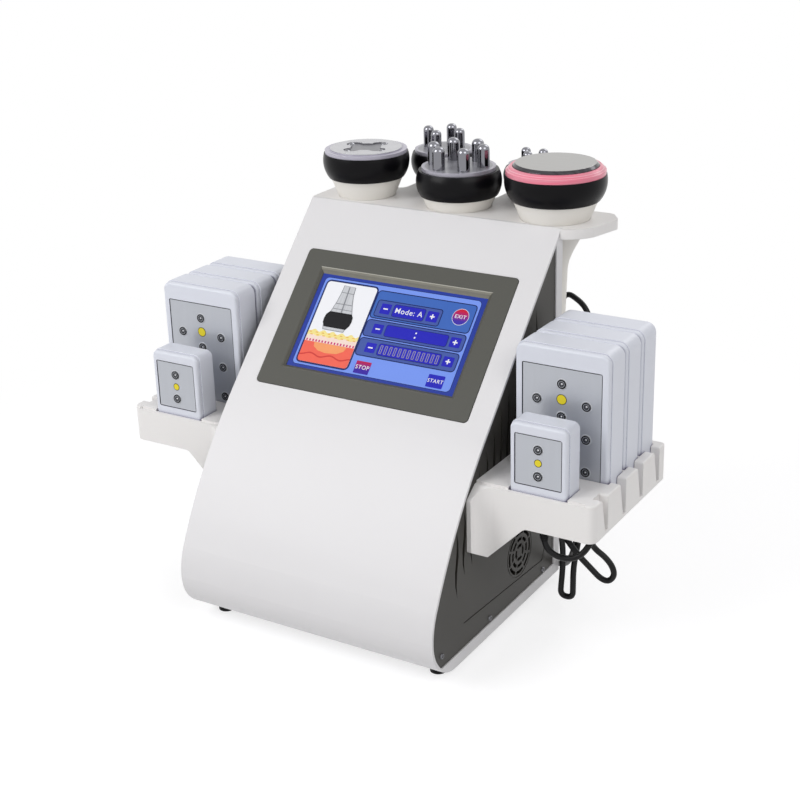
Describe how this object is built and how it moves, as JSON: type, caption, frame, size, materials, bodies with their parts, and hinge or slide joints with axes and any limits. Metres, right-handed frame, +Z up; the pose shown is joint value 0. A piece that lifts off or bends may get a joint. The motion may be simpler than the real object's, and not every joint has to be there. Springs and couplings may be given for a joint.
{
  "type": "cavitation slimming machine",
  "caption": "Desk-top body-contouring machine: sloping touch-screen console, rack of handpieces on top, laser pads in a bracket on each side, fan, inlet switch and leads.",
  "frame": {"origin": "on the table, under the centre of the machine without its cords", "axes": "+X to the machine's right as seen from the front, +Y to its back, +Z up"},
  "size_m": [0.489, 0.371, 0.4111],
  "materials": {
    "shell_white": "satin",
    "panel_grey": "satin",
    "bezel_grey": "satin",
    "screen_glass": "gloss",
    "chassis_metal": "satin",
    "board_green": "satin",
    "black_plastic": "satin",
    "screw_chrome": "polished",
    "foot_rubber": "matte",
    "pad_white": "satin",
    "plate_silver": "satin",
    "grip_white": "gloss",
    "collar_black": "gloss",
    "contact_grey": "gloss",
    "contact_steel": "polished",
    "light_pink": "gloss",
    "cord_black": "satin"
  },
  "bodies": {
    "console": {"front_shell": "shell_white", "rear_shell": "shell_white", "handle_tray": "shell_white", "side_panel_left": "panel_grey", "side_panel_right": "panel_grey", "screen_bezel": "bezel_grey", "touch_screen": "screen_glass", "chassis_plate": "chassis_metal", "power_supply": "chassis_metal", "generator_board": "board_green", "fan_frame": "black_plastic", "power_inlet": "black_plastic", "rear_sockets": "black_plastic", "case_screws": "screw_chrome", "feet": "foot_rubber", "bracket_left": "shell_white", "bracket_right": "shell_white", "pad_lead": "cord_black", "pad_lead_tail": "cord_black", "hand_lead": "cord_black", "hand_lead_tail": "cord_black", "pad_lead_coil": "cord_black", "hand_lead_coil": "cord_black", "pad_lead_plug": "cord_black", "hand_lead_plug": "cord_black", "lead_ties": "cord_black"},
    "pad_left_small": {"pad_left_small": "pad_white", "pad_left_small_face": "plate_silver"},
    "pad_left_front": {"pad_left_front": "pad_white", "pad_left_front_face": "plate_silver"},
    "pad_left_middle": {"pad_left_middle": "pad_white", "pad_left_middle_face": "plate_silver"},
    "pad_left_rear": {"pad_left_rear": "pad_white", "pad_left_rear_face": "plate_silver"},
    "pad_right_small": {"pad_right_small": "pad_white", "pad_right_small_face": "plate_silver"},
    "pad_right_front": {"pad_right_front": "pad_white", "pad_right_front_face": "plate_silver"},
    "pad_right_middle": {"pad_right_middle": "pad_white", "pad_right_middle_face": "plate_silver"},
    "pad_right_rear": {"pad_right_rear": "pad_white", "pad_right_rear_face": "plate_silver"},
    "arc_handpiece": {"arc_grip": "grip_white", "arc_collar": "collar_black", "arc_contact": "contact_grey"},
    "four_pin_handpiece": {"four_pin_grip": "grip_white", "four_pin_collar": "collar_black", "four_pin_contact": "contact_grey"},
    "six_pin_handpiece": {"six_pin_grip": "grip_white", "six_pin_collar": "collar_black", "six_pin_contact": "contact_grey"},
    "three_pin_handpiece": {"three_pin_grip": "grip_white", "three_pin_collar": "collar_black", "three_pin_contact": "contact_grey"},
    "cavitation_handpiece": {"cavitation_grip": "grip_white", "cavitation_collar": "collar_black", "cavitation_contact": "contact_steel", "cavitation_light_ring": "light_pink"},
    "fan": {"fan_impeller": "black_plastic"},
    "rocker": {"rocker_switch": "black_plastic"}
  },
  "joints": [
    {"name": "pad_left_small_lift", "type": "slide", "parent": "console", "child": "pad_left_small", "axis": [0, 0, 1], "range_m": [0, 0.08]},
    {"name": "pad_left_front_lift", "type": "slide", "parent": "console", "child": "pad_left_front", "axis": [0, 0, 1], "range_m": [0, 0.08]},
    {"name": "pad_left_middle_lift", "type": "slide", "parent": "console", "child": "pad_left_middle", "axis": [0, 0, 1], "range_m": [0, 0.08]},
    {"name": "pad_left_rear_lift", "type": "slide", "parent": "console", "child": "pad_left_rear", "axis": [0, 0, 1], "range_m": [0, 0.08]},
    {"name": "pad_right_small_lift", "type": "slide", "parent": "console", "child": "pad_right_small", "axis": [0, 0, 1], "range_m": [0, 0.08]},
    {"name": "pad_right_front_lift", "type": "slide", "parent": "console", "child": "pad_right_front", "axis": [0, 0, 1], "range_m": [0, 0.08]},
    {"name": "pad_right_middle_lift", "type": "slide", "parent": "console", "child": "pad_right_middle", "axis": [0, 0, 1], "range_m": [0, 0.08]},
    {"name": "pad_right_rear_lift", "type": "slide", "parent": "console", "child": "pad_right_rear", "axis": [0, 0, 1], "range_m": [0, 0.08]},
    {"name": "arc_lift", "type": "slide", "parent": "console", "child": "arc_handpiece", "axis": [0, 0, 1], "range_m": [0, 0.1]},
    {"name": "four_pin_lift", "type": "slide", "parent": "console", "child": "four_pin_handpiece", "axis": [0, 0, 1], "range_m": [0, 0.1]},
    {"name": "six_pin_lift", "type": "slide", "parent": "console", "child": "six_pin_handpiece", "axis": [0, 0, 1], "range_m": [0, 0.1]},
    {"name": "three_pin_lift", "type": "slide", "parent": "console", "child": "three_pin_handpiece", "axis": [0, 0, 1], "range_m": [0, 0.1]},
    {"name": "cavitation_lift", "type": "slide", "parent": "console", "child": "cavitation_handpiece", "axis": [0, 0, 1], "range_m": [0, 0.1]},
    {"name": "fan_spin", "type": "hinge", "parent": "console", "child": "fan", "pos_m": [0.12, -0.0223, 0.064], "axis": [1, 0, 0], "continuous": true},
    {"name": "rocker_tilt", "type": "hinge", "parent": "console", "child": "rocker", "pos_m": [-0.0685, 0.0605, 0.0515], "axis": [1, 0, 0], "range_deg": [0, 14]}
  ]
}
